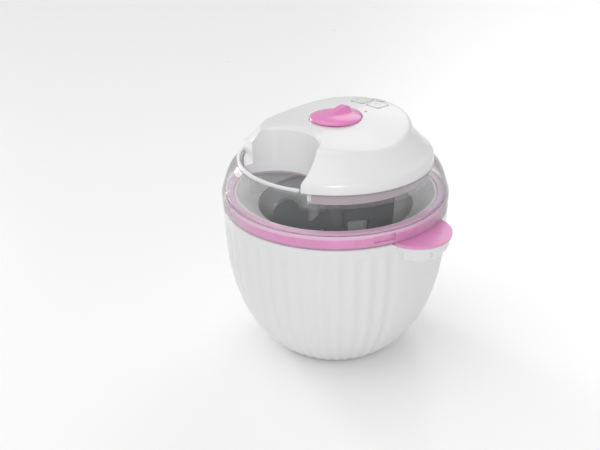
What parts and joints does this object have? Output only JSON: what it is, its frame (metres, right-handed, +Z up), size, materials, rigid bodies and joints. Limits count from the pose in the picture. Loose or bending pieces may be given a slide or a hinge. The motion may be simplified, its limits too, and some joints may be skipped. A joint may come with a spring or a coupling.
{
  "type": "ice cream maker",
  "caption": "Counter-top ice cream maker: fluted round tub, lift-out freezer bowl with a grip ring, clear domed lid, geared motor unit with a filling chute, turning knob and keys.",
  "frame": {"origin": "middle of the base, on the surface that the feet stand on", "axes": "+Z up; +X through the two grips; the filling chute faces -Y and the keypad lies towards +Y"},
  "size_m": [0.2692, 0.2226, 0.25],
  "materials": {
    "housing_white": "moulded gloss",
    "cover_white": "moulded gloss",
    "liner_grey": "moulded matte",
    "grip_pink": "moulded gloss",
    "knob_pink": "moulded gloss",
    "rim_grey": "moulded satin",
    "cup_metal": "satin",
    "coolant": "gel in a sealed cavity",
    "silicone": "soft matte",
    "lid_clear": "clear polished",
    "base_grey": "moulded satin",
    "gear_white": "machined acetal",
    "drive_steel": "turned",
    "motor_steel": "zinc plated",
    "bush_bronze": "sintered bronze",
    "screw_zinc": "zinc plated",
    "board_green": "lacquered board",
    "switch_black": "moulded matte",
    "display_grey": "clear window",
    "key_white": "moulded satin",
    "light_red": "tinted light guide",
    "foot_rubber": "matte",
    "gland_rubber": "matte",
    "paddle_grey": "moulded satin"
  },
  "bodies": {
    "base_unit": {"outer_housing": "housing_white", "housing_liner": "liner_grey", "base_plate": "liner_grey", "rubber_feet": "foot_rubber", "base_screws": "screw_zinc"},
    "freezer_bowl": {"bowl_outer_shell": "rim_grey", "bowl_inner_cup": "cup_metal", "coolant_gel": "coolant", "bowl_seal": "silicone", "bowl_rim": "rim_grey", "bowl_ring": "grip_pink"},
    "seal_ring": {"lid_seal": "silicone"},
    "lid": {"clear_lid": "lid_clear", "lid_bush": "gear_white"},
    "motor_unit": {"motor_cover": "cover_white", "motor_base": "base_grey", "output_bush": "bush_bronze", "cluster_axle": "drive_steel", "gear_plate": "motor_steel", "plate_screws": "screw_zinc", "motor_can": "motor_steel", "motor_screws": "screw_zinc", "cover_screws": "screw_zinc", "rotary_switch": "switch_black", "control_board": "board_green", "tact_switches": "switch_black", "display_window": "display_grey", "power_light": "light_red", "cord_gland": "gland_rubber"},
    "output_drive": {"output_gear": "gear_white", "output_shaft": "drive_steel"},
    "cluster": {"cluster_gear": "gear_white"},
    "rotor": {"motor_shaft": "drive_steel", "motor_pinion": "bush_bronze"},
    "paddle": {"mixing_paddle": "paddle_grey"},
    "knob": {"control_knob": "knob_pink", "knob_shaft": "drive_steel"},
    "start_button": {"start_key": "key_white"},
    "timer_button": {"timer_key": "key_white"}
  },
  "joints": [
    {"name": "bowl_lift", "type": "slide", "parent": "base_unit", "child": "freezer_bowl", "axis": [0, 0, 1], "range_m": [0, 0.14]},
    {"name": "lid_lift", "type": "slide", "parent": "freezer_bowl", "child": "seal_ring", "axis": [0, 0, 1], "range_m": [0, 0.14]},
    {"name": "lid_turn", "type": "hinge", "parent": "seal_ring", "child": "lid", "pos_m": [0, 0, 0.16], "axis": [0, 0, 1], "range_deg": [-8, 0]},
    {"name": "motor_unit_lift", "type": "slide", "parent": "lid", "child": "motor_unit", "axis": [0, 0, 1], "range_m": [0, 0.06]},
    {"name": "output_spin", "type": "hinge", "parent": "motor_unit", "child": "output_drive", "pos_m": [0, 0, 0.19], "axis": [0, 0, 1], "continuous": true},
    {"name": "cluster_spin", "type": "hinge", "parent": "motor_unit", "child": "cluster", "pos_m": [0.02985, 0.02013, 0.19], "axis": [0, 0, 1], "continuous": true},
    {"name": "motor_spin", "type": "hinge", "parent": "motor_unit", "child": "rotor", "pos_m": [0.01221, 0.0444, 0.19], "axis": [0, 0, 1], "continuous": true},
    {"name": "paddle_spin", "type": "hinge", "parent": "lid", "child": "paddle", "pos_m": [0, 0, 0.19], "axis": [0, 0, 1], "continuous": true},
    {"name": "knob_turn", "type": "hinge", "parent": "motor_unit", "child": "knob", "pos_m": [0, 0, 0.237], "axis": [0, 0, 1], "range_deg": [0, 90]},
    {"name": "start_press", "type": "slide", "parent": "motor_unit", "child": "start_button", "axis": [0, 0, -1], "range_m": [0, 0.0008], "stiffness_N_per_m": 400},
    {"name": "timer_press", "type": "slide", "parent": "motor_unit", "child": "timer_button", "axis": [0, 0, -1], "range_m": [0, 0.0008], "stiffness_N_per_m": 400}
  ],
  "couplings": [
    {"joint": "output_spin", "follows": "paddle_spin", "ratio": 1},
    {"joint": "cluster_spin", "follows": "paddle_spin", "ratio": -5},
    {"joint": "motor_spin", "follows": "paddle_spin", "ratio": 20}
  ]
}
